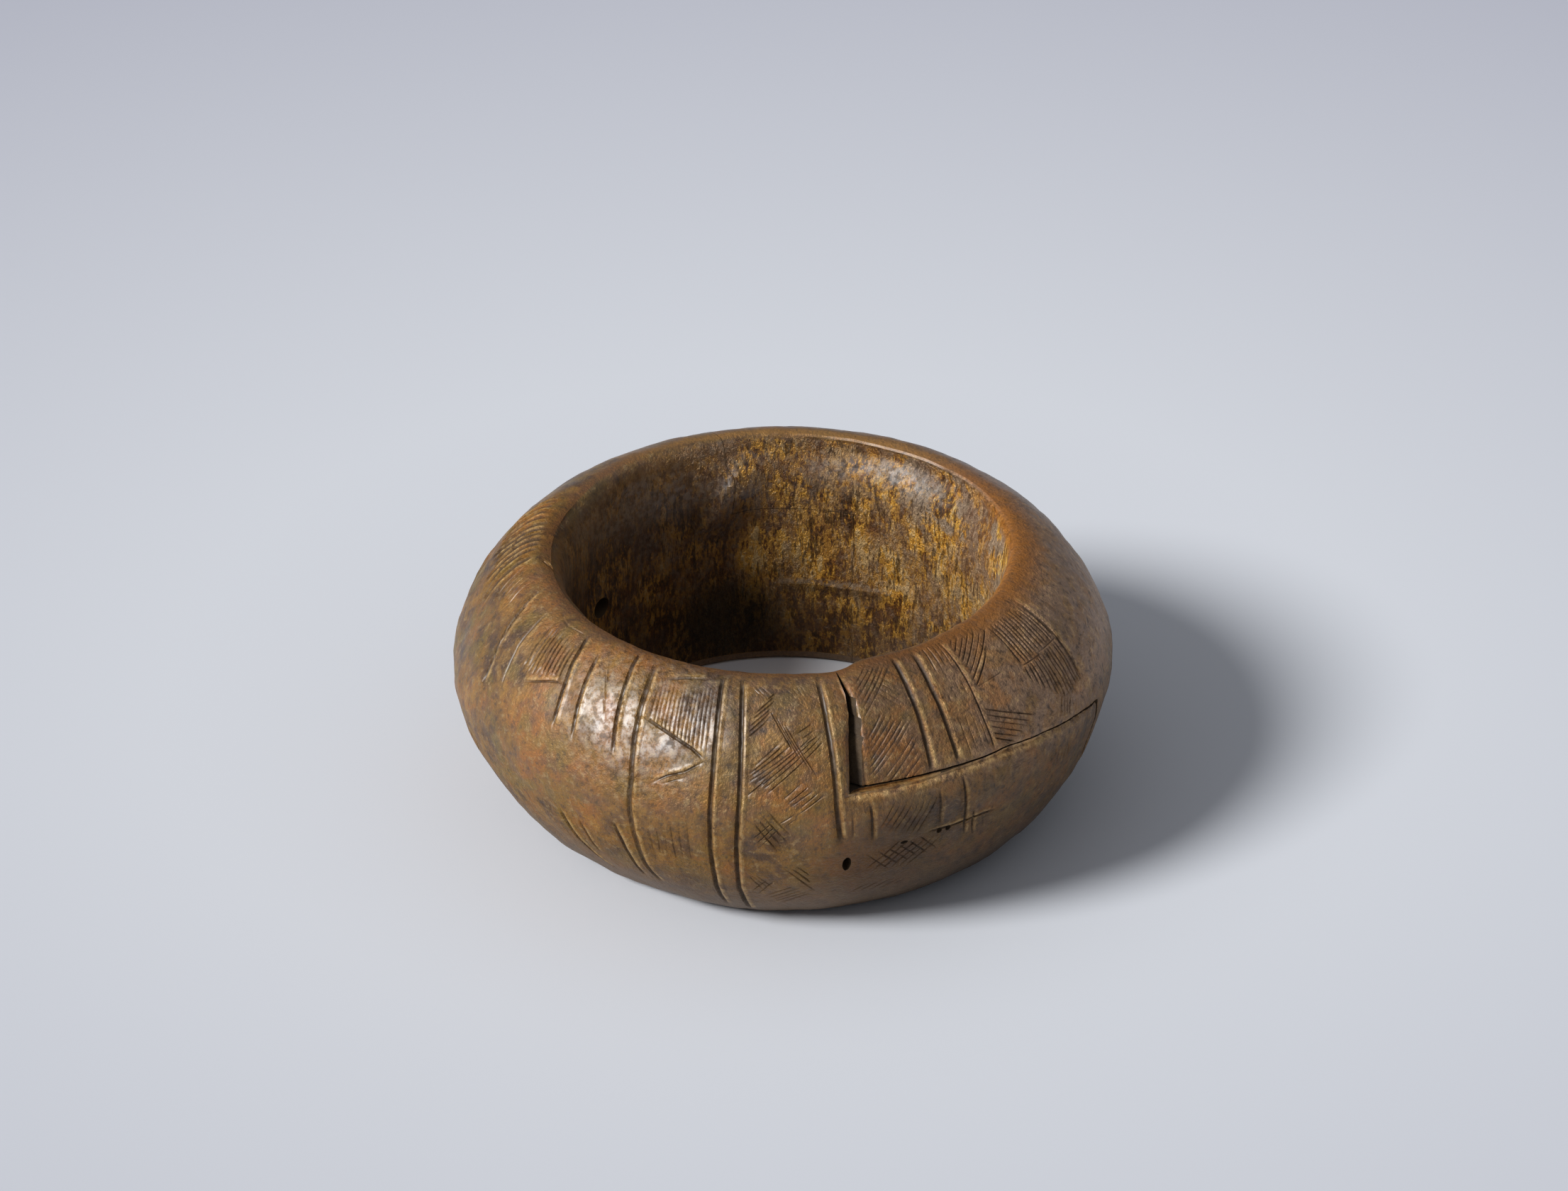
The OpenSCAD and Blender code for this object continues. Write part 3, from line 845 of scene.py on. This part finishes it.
class Link:
    """A node socket. Sums on number sockets add Math nodes, and node() adds any other node."""

    def __init__(self, tree, socket=None):
        self.tree, self.socket = tree, socket

    def feed(self, socket, value):
        """Links a socket to another one, or gives it a fixed value."""
        if isinstance(value, Link):
            self.tree.links.new(value.socket, socket)
        else:
            socket.default_value = value

    def node(self, kind, settings=None, values=None, out=0):
        made = self.tree.nodes.new(kind)
        for name, value in (settings or {}).items():
            setattr(made, name, value)
        for key, value in (values or {}).items():
            self.feed(made.inputs[key], value)
        return Link(self.tree, made.outputs[out])

    def maths(self, operation, first, second):
        return self.node("ShaderNodeMath", {"operation": operation}, {0: first, 1: second})

    def __add__(self, other):
        return self.maths("ADD", self, other)

    def __sub__(self, other):
        return self.maths("SUBTRACT", self, other)

    def __rsub__(self, other):
        return self.maths("SUBTRACT", other, self)

    def __mul__(self, other):
        return self.maths("MULTIPLY", self, other)

    __radd__, __rmul__ = __add__, __mul__

    def step(self, low, high):
        """Soft step from 0 at low to 1 at high."""
        ends = (low, high, 0.0, 1.0) if low <= high else (high, low, 1.0, 0.0)
        return self.node(
            "ShaderNodeMapRange", {"interpolation_type": "SMOOTHSTEP"}, dict(enumerate((self, *ends))))

    def over(self, colour, factor):
        """Another colour laid over this one where the factor is 1."""
        if not isinstance(colour, Link):
            colour = (*colour, 1)
        return self.node("ShaderNodeMix", {"data_type": "RGBA"}, {0: factor, 6: self, 7: colour}, 2)

    def ramp(self, *stops):
        """Colours read off by this number, between stops given as (position, colour)."""
        read = self.node("ShaderNodeValToRGB", None, {0: self})
        elements = read.socket.node.color_ramp.elements
        while len(elements) < len(stops):
            elements.new(1)
        for element, (position, colour) in zip(elements, stops):
            element.position, element.color = position, (*colour, 1)
        return read


class Finish:
    """A new material with the parts that every finish here starts from."""

    def __init__(self, name):
        self.material = bpy.data.materials.new(name)
        self.material.use_nodes = True
        tree = self.material.node_tree
        self.shader = tree.nodes["Principled BSDF"]
        self.start = Link(tree)
        self.place = self.start.node("ShaderNodeTexCoord", out=3)

    def grain(self, scale, detail=3, stretch=(1, 1, 1), rough=0.55, shift=0):
        """Noise over the object, in turns per metre, stretched where wanted."""
        place = self.start.node("ShaderNodeMapping", None, {
            "Vector": self.place, "Location": (shift, shift, shift), "Scale": stretch})
        return self.start.node("ShaderNodeTexNoise", None, {
            "Vector": place, "Scale": scale, "Detail": detail, "Roughness": rough})

    def distance(self, place):
        """Distance from a place, in metres."""
        return self.start.node(
            "ShaderNodeVectorMath", {"operation": "DISTANCE"}, {0: self.place, 1: place}, 1)

    def near(self, place, inner, outer):
        """1 within an inner distance of a place, 0 beyond an outer one, all in mm."""
        return self.distance([c * MM for c in place]).step(outer * MM, inner * MM)

    def mark(self, name):
        """A mark kept on the mesh."""
        return self.start.node("ShaderNodeAttribute", {"attribute_name": name}, None, 2)

    def set(self, **values):
        """Sets or links sockets of the shader, named with _ for each space."""
        for name, value in values.items():
            self.start.feed(self.shader.inputs[name.replace("_", " ")], value)

    def bump(self, height, distance):
        """Fine relief from a height between 0 and 1."""
        return self.start.node(
            "ShaderNodeBump", None, {"Strength": 1.0, "Distance": distance * MM, "Height": height})


def brass_skin(name, finish):
    """Patinated brass: mottled brown skin, worn orange rim, golden flaky bore and dark incised lines."""
    make = Finish(name)
    x, y, z = (make.start.node("ShaderNodeSeparateXYZ", None, {0: make.place}, i) for i in range(3))
    groove, lip, grime_and_shade, wall = (make.mark(mark) for mark in MARKS[:4])
    cloud = make.grain(55, 3, rough=0.5)
    patch = make.grain(260, 4, shift=3.1, rough=0.6)
    tarnish = make.grain(330, 3, shift=5.3, rough=0.6)
    stain = make.grain(210, 3, shift=11.9, rough=0.6)
    fleck = make.grain(900, 4, shift=7.7, rough=0.65)
    speck = make.grain(2200, 2, shift=1.3, rough=0.6)
    brushed = make.grain(1500, 3, (1, 1, 0.22), 0.6, 2.4)
    right, left = x.step(-0.002, 0.040), x.step(-0.02, -0.046)
    # Outside skin
    mottle = cloud * 0.5 + patch * 0.5
    skin = mottle.ramp((0.4, finish.umber), (0.49, finish.ochre), (0.6, finish.russet))
    skin = skin.over(finish.plum, tarnish.step(0.46, 0.64) * 0.5)
    gate_front = make.near((15, -41, 35), 5, 13)
    skin = skin.over(finish.olive, stain.step(0.48, 0.66) * (0.4 + 0.25 * left + 0.2 * gate_front))
    greyed = (0.3 + 0.7 * z.step(0.022, 0.03)) * (0.6 + 0.4 * tarnish.step(0.4, 0.56))
    skin = skin.over(finish.grey_brown, right * greyed)
    skin = skin.over(finish.russet, patch.step(0.52, 0.6) * gate_front * 0.5)
    skin = skin.over(finish.straw, fleck.step(0.55, 0.66) * (0.45 - 0.15 * right))
    skin = skin.over(finish.groove, fleck.step(0.45, 0.34) * 0.5)
    skin = skin.over(finish.gold, stain.step(0.44, 0.34) * x.step(0.02, 0.004) * 0.35)
    skin = skin.over(finish.plum, z.step(0.016, 0.002) * 0.7)
    skin = skin.over(finish.ash, z.step(0.016, 0.003) * (0.3 + 0.4 * patch))
    # Painted shade: browner and darker low on the tongue at the right front
    skin = skin.over(finish.umber, make.near((13.6, -44.5, 16), 4, 13) * (0.4 + 0.5 * patch))
    # Rim, broader inside the gate's front
    open_side = right * y.step(0.024, 0.006)
    inward = wall.step(-0.7, 0.2) * (1 - open_side) + wall.step(-4.6, -1.0) * open_side
    rim = (wall.step(3.0, 0.4) * (1 - right) + wall.step(6.5, 0.4) * right) * inward
    # Bore
    flake = make.grain(1300, 4, (1, 1, 0.36), 0.72, 4.2)
    coarse = make.grain(300, 3, (1, 1, 0.55), 0.55, 9.4)
    grit = make.grain(2700, 2, (1, 1, 0.7), 0.6, 6.1)
    lit, low = x.step(-0.03, 0.016), z.step(0.017, 0.008)
    band = z.step(0.013, 0.017) * z.step(0.028, 0.022) * x.step(-0.014, 0.006)
    dull = z.step(0.022, 0.027) * z.step(0.036, 0.031) * x.step(0.03, 0.016)
    tone = flake * 0.5 + coarse * 0.36 + grit * 0.14 + lit * 0.03
    tone = tone + band * 0.03 - dull * 0.02 - low * 0.02 - 0.006
    bore = tone.ramp(
        (0.43, finish.soot), (0.475, finish.bronze), (0.505, finish.gold),
        (0.545, finish.gold), (0.585, finish.straw))
    bore = bore.over(finish.rim, stain.step(0.5, 0.62) * 0.4)
    ashen = 0.1 + 0.5 * x.step(0.01, 0.026) + 0.5 * z.step(0.024, 0.034)
    bore = bore.over(finish.ash, patch.step(0.46, 0.58) * ashen)
    bore = bore.over(finish.dusk_and_shade, brushed.step(0.52, 0.6) * 0.75)
    dulled = make.grain(150, 3, (1, 1, 0.7), 0.55, 13.3).step(0.47, 0.56)
    bore = bore.over(finish.plum, dulled * (0.35 + 0.3 * patch))
    bore = bore.over(finish.ash, dulled * fleck.step(0.5, 0.62) * 0.5)
    # Darker towards the bottom of the bore, then painted shade on its left, which faces away from the light
    bore = bore.over(finish.dusk_and_shade, low * 0.4)
    bore = bore.over(finish.dusk_and_shade, (1 - lit) * 0.3)
    bore = bore.over(finish.moss, make.near((-9, 31, 8), 4, 11) * 0.7)
    # Ledge at the back of the bore: painted shadow below it and a painted highlight on its edge
    back = y.step(0.02, 0.027) * x.step(-0.003, 0.001) * x.step(0.019, 0.014)
    bore = bore.over(finish.dusk_and_shade, back * z.step(0.0125, 0.0140) * z.step(0.0149, 0.0146) * 0.6)
    pale = z.step(0.0146, 0.0150) * z.step(0.0157, 0.0152) * fleck.step(0.38, 0.56)
    bore = bore.over(finish.ash, back * pale * 0.8)
    crust = tone.step(0.5, 0.465)
    edge = x.step(-0.005, -0.03)
    # Painted light: paler grey high on the bore's left, where the lip's rounding catches light from the sky
    bore = bore.over(finish.ash, edge * z.step(0.02, 0.034) * 0.3)
    inside = wall.step(-0.4, -1.4) * (1 - edge) + wall.step(-1.2, -5.5) * edge
    skin = skin.over(bore, inside)
    # Rim and lines over both
    skin = skin.over(finish.rim, rim * (0.4 + 0.15 * right + 0.4 * fleck.step(0.3, 0.56)))
    skin = skin.over(finish.russet, rim * right * 0.25)
    # Golden rim at the back: worn metal with a painted highlight
    skin = skin.over(finish.gold, rim * y.step(0.02, 0.034) * 0.4)
    # Painted highlight and rubbed metal on the lips and worn edges
    skin = skin.over(finish.straw, lip * 0.6 * fleck.step(0.35, 0.6))
    # Dirt and painted shade beside the lines
    skin = skin.over(finish.groove, grime_and_shade * 0.26 * patch.step(0.35, 0.6))
    skin = skin.over(finish.groove, groove * (0.45 + 0.35 * patch + 0.25 * right))
    # Brightness with painted light and shade, then roughness, relief and gloss
    # Painted light: the gate's upper right, which the key light hardly reaches, made lighter
    level = 0.84 + 0.5 * x.step(0.012, 0.038) * z.step(0.024, 0.03) - 0.12 * gate_front
    # Painted shade: the tongue and lower right, which face away from the light, made darker
    level = level - 0.36 * x.step(-0.004, 0.028) * z.step(0.029, 0.02)
    # Painted light in the bore: lighter on its lit right side and on its left near the lip
    level = level + inside * (0.22 + 0.2 * x.step(-0.01, -0.022) + 0.84 * x.step(-0.004, 0.022))
    # Painted highlight high in the bore under the lip; darker towards the bottom
    level = level + 0.46 * inside * z.step(0.028, 0.037) - 0.08 * z.step(0.02, 0.008)
    # Painted highlights on the lips and worn edges and on the back of the rim
    level = level + 0.4 * lip + 0.12 * rim * y.step(0.02, 0.034)
    shade = 0.55 - 0.67 * right - 0.2 * inside + speck * (0.6 + 0.2 * right + 0.4 * inside)
    shade = shade + fleck * 1.15 * right + 0.3 * brushed
    skin = make.start.node("ShaderNodeVectorMath", {"operation": "SCALE"}, {0: skin, 3: shade * level})
    rough = 0.38 + 0.16 * patch + 0.12 * speck + groove * 0.2 - inside * 0.1
    folds = make.near((-44, 8, 36), 9, 20)
    glare = make.near((-20, -38, 36), 8, 18)
    height = patch * 0.15 + fleck * (0.35 + 0.3 * glare) + speck * 0.25 + brushed * 0.2
    height = height + inside * (flake * 2.5 + grit * 0.8 + crust * 0.6 - 1.95)
    coat = z.step(0.012, 0.034) * (1 - 0.8 * right * y.step(0.026, 0.01)) * (1 - 0.6 * folds)
    coat = coat * (1 - 0.8 * inside * z.step(0.034, 0.028)) * (1 - 0.55 * rim * y.step(0.03, 0.0))
    coat = coat * (0.8 + (glare + inside) * (fleck.step(0.4, 0.58) - 0.4)) - grime_and_shade * 0.35
    make.set(
        Base_Color=skin, Roughness=rough, Metallic=0.34 - groove * 0.24 + inside * 0.1,
        Specular_IOR_Level=0.4, Coat_Weight=coat, Coat_Roughness=0.42, Coat_IOR=1.75,
        Normal=make.bump(height, 0.75))
    return make.material


def lap_brass(finish):
    """Dark unpolished brass of the faces inside the joints."""
    make = Finish("lap_brass")
    cloud, speck = make.grain(240, 4), make.grain(1500, 3, shift=2)
    dark = cloud.ramp((0.3, finish.groove), (0.7, finish.lap))
    make.set(Base_Color=dark, Roughness=0.6 + 0.2 * speck, Metallic=0.4, Normal=make.bump(speck, 0.15))
    return make.material


def pin_iron(finish):
    """Old iron with a brown skin."""
    make = Finish("hammered_iron")
    cloud, speck = make.grain(420, 4), make.grain(2200, 3, shift=5)
    brown = cloud.ramp((0.3, finish.groove), (0.55, finish.iron), (0.75, finish.umber))
    make.set(Base_Color=brown, Roughness=0.5 + 0.25 * speck, Metallic=0.5, Normal=make.bump(speck, 0.12))
    return make.material


def peg_brass(finish):
    """Filed brass, rubbed by its socket."""
    make = Finish("filed_brass")
    file_marks, cloud = make.grain(2400, 2, (0.12, 1, 1)), make.grain(300, 3, shift=6)
    worn = cloud.ramp((0.32, finish.lap), (0.7, finish.ochre))
    rough = 0.42 + 0.2 * file_marks
    make.set(Base_Color=worn, Roughness=rough, Metallic=0.6, Normal=make.bump(file_marks, 0.1))
    return make.material


def floor_paper(stage):
    """Plain pale ground that darkens a little further out, by a painted fall-off of light."""
    make = Finish("floor_paper")
    pale = make.distance((0.0, 0.03, 0.0)).ramp((0.1, stage.floor), (0.34, stage.floor_far_falloff))
    make.set(Base_Color=pale, Roughness=0.8, Specular_IOR_Level=0.1)
    return make.material


def sliced(bm, cuts):
    """Cuts the long sides of an upright shaft into rings."""
    sides = [e for e in bm.edges if abs(e.verts[0].co.z - e.verts[1].co.z) > 1]
    bmesh.ops.subdivide_edges(bm, edges=sides, cuts=cuts, use_grid_fill=True)


def aimed(data, az, height, distance):
    """A light or camera that looks at the bracelet from a direction, a height and a distance."""
    made = bpy.data.objects.new(data.name, data)
    way = Vector((math.cos(az) * math.cos(height), math.sin(az) * math.cos(height), math.sin(height)))
    made.location = Vector((0, 0, AIM_Z * MM)) + way * distance
    made.rotation_euler = way.to_track_quat("Z", "Y").to_euler()
    bpy.context.scene.collection.objects.link(made)
    return made


class BRACELET_OT_halves(bpy.types.Operator):
    """Casts the ring, cuts its lines and parts it into the left half and the gate"""
    bl_idname = "bracelet.halves"
    bl_label = "Two halves"

    def execute(self, context):
        shape, finish = context.scene.bracelet_shape, context.scene.bracelet_finish
        wall = Wall(shape)
        lap = lap_brass(finish)
        ring = incised_ring(shape, wall)
        left = mesh_object("left_half_cast", ring.copy(), [brass_skin("left_skin", finish)])
        gate = mesh_object("gate_cast", ring, [brass_skin("gate_skin", finish)])
        whole = gate.data.copy()
        on_pin = lambda z: (PIN_X, PIN_Y, z)
        pin_low, pin_high = on_pin(UNDER), on_pin(OVER)
        slit_left = lambda z: float(along(SLIT_LEFT, z))
        slit_gate = lambda z: float(along(SLIT_GATE, z))
        slit_inner = lambda z: slit_left(z) + SLIT_CLEARANCE
        bevel_r = lambda z: float(wall.at(wall.outside(min(z, RIM_Z)))[0]) - BEVEL
        bevel = lambda z: (slit_gate(z) - slit_inner(z)) / BEVEL
        turned = lambda az: (az - SEAM_START_AZ) % 360 + SEAM_START_AZ
        seam = lambda az: float(along(SEAM, turned(az)))
        half_gap = lambda az: 0.5 * (SEAM_GAP if -100 < turned(az) < 0 else HINGE_GAP + 0.01)
        peg_low, peg_high = (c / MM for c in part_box("closing_peg"))
        peg_length = peg_high.x - peg_low.x
        peg_way = Vector((peg_length, peg_length * math.tan(PEG_SLANT), 0))
        peg_mid = (peg_low + peg_high) / 2
        peg_ends = peg_mid - peg_way * 0.56, peg_mid + peg_way * 0.5
        holes = [casting_hole(wall, *hole) for hole in (
            (-79.2, 32.9, (1.3, 3.2), 5), (150 - 360, wall.inside(19.7), (3.8, 3.3), 6),
            (-62.8, 29.5, (0.9, 0.9), 0.9), (-61.1, 29.5, (0.9, 0.9), 0.8), (-69.3, 30, (1.2, 0.7), 0.5))]
        cut_away(left, [
            radial_block(-78, HINGE_AZ + 3, lambda az: seam(az) - half_gap(az), OVER, first=slit_left),
            rod(KNUCKLE_R + HINGE_GAP, on_pin(SEAM_Z - HINGE_GAP / 2), pin_high, ROUND),
            less(radial_block(TONGUE_AZ, HINGE_AZ + 2, UNDER, 28.6),
                 rod(KNUCKLE_R, pin_low, on_pin(32), ROUND)),
            rod(PIN_HOLE_LEFT, pin_low, pin_high),
            rod(PEG_SOCKET_R, *peg_ends),
            *holes,
        ], lap)
        cut_away(gate, [
            less(radial_block(HINGE_AZ - 362, -76, 27, OVER, last=slit_inner),
                 rod(KNUCKLE_R, on_pin(20), on_pin(55), ROUND)),
            radial_block(HINGE_AZ - 363, TONGUE_AZ + TONGUE_GAP, UNDER, lambda az: seam(az) + half_gap(az)),
            rod(KNUCKLE_R + HINGE_GAP, pin_low, on_pin(SEAM_Z + HINGE_GAP / 2), ROUND),
            radial_block(-84, -76, 26, 51, last=slit_inner, inner=bevel_r, flare=bevel),
            rod(PIN_HOLE_GATE, pin_low, pin_high),
            rod(PEG_HOLE_R, *peg_ends),
        ], lap)
        for piece, body, node, slot_name in (
                (left, "left_body", "left_half", "cast_brass"), (gate, "gate", "right_half", "gate_brass")):
            mend_marks(piece.data, whole)
            finish_piece(piece, body, node)
        bpy.data.meshes.remove(whole)
        return {"FINISHED"}


class BRACELET_OT_hinge_pin(bpy.types.Operator):
    """Makes the hinge pin, hammered over at both ends so that it lies flush in the wall"""
    bl_idname = "bracelet.hinge_pin"
    bl_label = "Hinge pin"

    def execute(self, context):
        wall = Wall(context.scene.bracelet_shape)
        low, high = (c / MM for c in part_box("hinge_pin"))
        radius = (high.x - low.x) / 2
        segments = 48
        bm = bmesh.new()
        bmesh.ops.create_cone(
            bm, cap_ends=True, segments=segments, radius1=radius, radius2=radius, depth=2,
            matrix=Matrix.Translation((PIN_X, PIN_Y, 0)))
        for _ in range(4):
            ends = [f for f in bm.faces if len(f.verts) == segments]
            bmesh.ops.inset_individual(bm, faces=ends, thickness=0.5)
        sliced(bm, 12)
        out, below = wall.s >= 0, np.arange(len(wall.s)) > np.argmax(wall.r)
        upper, lower = out & ~below, out & below & (wall.z > 0.01)
        for v in bm.verts:
            r = math.hypot(v.co.x, v.co.y)
            top = float(np.interp(r, wall.r[upper], wall.z[upper]))
            foot = float(np.interp(-r, -wall.r[lower], wall.z[lower]))
            t = (v.co.z + 1) / 2
            from_axis = math.hypot(v.co.x - PIN_X, v.co.y - PIN_Y) / radius
            dome = 0.12 * (1 - from_axis ** 2) - 0.1 * max(0, from_axis - 0.78) / 0.22
            dome += 0.06 * noise.noise(Vector((v.co.x, v.co.y, 3 * t)) * 0.9)
            v.co.z = foot - dome + (top - foot + 2 * dome) * t
        bmesh.ops.recalc_face_normals(bm, faces=bm.faces)
        pin = mesh_object("hinge_pin_hammered", bm, [pin_iron(context.scene.bracelet_finish)])
        finish_piece(pin, "left_body", "hinge_pin", 40)
        return {"FINISHED"}


class BRACELET_OT_closing_peg(bpy.types.Operator):
    """Makes the closing peg with its tapered tip and filed rings"""
    bl_idname = "bracelet.closing_peg"
    bl_label = "Closing peg"

    def execute(self, context):
        low, high = (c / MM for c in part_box("closing_peg"))
        radius, length = (high.z - low.z) / 2, (high.x - low.x) / math.cos(PEG_SLANT)
        middle = (low + high) / 2
        segments = 40
        bm = bmesh.new()
        bmesh.ops.create_cone(
            bm, cap_ends=True, segments=segments, radius1=radius, radius2=radius, depth=length - 0.3)
        sliced(bm, 22)
        for v in bm.verts:
            from_tip = v.co.z + length / 2
            share = 0.72 + 0.28 * min(1, from_tip / 1.2)
            share -= 0.012 * (1 + math.sin(from_tip * 5.1)) * (from_tip < 5)
            v.co.x, v.co.y = v.co.x * share, v.co.y * share
        ends = [f for f in bm.faces if len(f.verts) == segments]
        bmesh.ops.inset_individual(bm, faces=ends, thickness=0.25, depth=0.12)
        turn = Matrix.Rotation(PEG_SLANT, 4, "Z") @ Matrix.Rotation(math.radians(90), 4, "Y")
        bmesh.ops.transform(bm, verts=bm.verts, matrix=Matrix.Translation(middle) @ turn)
        bmesh.ops.recalc_face_normals(bm, faces=bm.faces)
        peg = mesh_object("closing_peg_filed", bm, [peg_brass(context.scene.bracelet_finish)])
        finish_piece(peg, "gate", "closing_peg", 40)
        return {"FINISHED"}


class BRACELET_OT_stage(bpy.types.Operator):
    """Lays the pale floor and sets the soft key light, the sky and the camera"""
    bl_idname = "bracelet.stage"
    bl_label = "Floor, light and camera"

    def execute(self, context):
        scene, stage = context.scene, context.scene.bracelet_stage
        bm = bmesh.new()
        bmesh.ops.create_grid(bm, x_segments=8, y_segments=8, size=2.5)
        floor = mesh_object("floor", bm, [floor_paper(stage)])
        lamp = bpy.data.lights.new("key", "SUN")
        lamp.energy, lamp.angle = stage.key_strength, stage.key_size
        aimed(lamp, stage.key_az, stage.key_height, 3)
        world = bpy.data.worlds.new("sky")
        world.use_nodes = True
        sky = Link(world.node_tree)
        up = sky.node("ShaderNodeSeparateXYZ", None, {0: sky.node("ShaderNodeTexCoord")}, 2)
        light = world.node_tree.nodes["Background"].inputs
        sky.feed(light["Color"], (*rgb(230, 233, 240), 1))
        sky.feed(light["Strength"], stage.sky * (0.55 + 0.95 * up.step(0.0, 0.9)))
        scene.world = world
        lens = bpy.data.cameras.new("camera")
        lens.lens, lens.sensor_width, lens.clip_start = 100, 36, 0.01
        scene.camera = aimed(lens, math.radians(-90), stage.elevation, stage.distance)
        scene.view_settings.view_transform = "Standard"
        return {"FINISHED"}


OPERATORS = (BRACELET_OT_halves, BRACELET_OT_hinge_pin, BRACELET_OT_closing_peg, BRACELET_OT_stage)
GROUPS = {
    "bracelet_shape": BraceletShape, "bracelet_finish": BraceletFinish, "bracelet_stage": BraceletStage}


class BRACELET_PT_sidebar(bpy.types.Panel):
    """Lists the sizes, the colours and the steps"""
    bl_idname = "BRACELET_PT_sidebar"
    bl_label = "Bracelet"
    bl_space_type = "VIEW_3D"
    bl_region_type = "UI"
    bl_category = "Bracelet"

    def draw(self, context):
        for name, group in GROUPS.items():
            box = self.layout.box()
            for prop in group.__annotations__:
                box.prop(getattr(context.scene, name), prop)
        for operator in OPERATORS:
            self.layout.operator(operator.bl_idname)


CLASSES = (*GROUPS.values(), *OPERATORS, BRACELET_PT_sidebar)


def register():
    for cls in CLASSES:
        bpy.utils.register_class(cls)
    for name, group in GROUPS.items():
        setattr(bpy.types.Scene, name, bpy.props.PointerProperty(type=group))


def unregister():
    for name in GROUPS:
        delattr(bpy.types.Scene, name)
    for cls in reversed(CLASSES):
        bpy.utils.unregister_class(cls)


def main():
    register()
    bpy.ops.bracelet.halves()
    bpy.ops.bracelet.hinge_pin()
    bpy.ops.bracelet.closing_peg()
    bpy.ops.bracelet.stage()


if __name__ == "__main__":
    main()
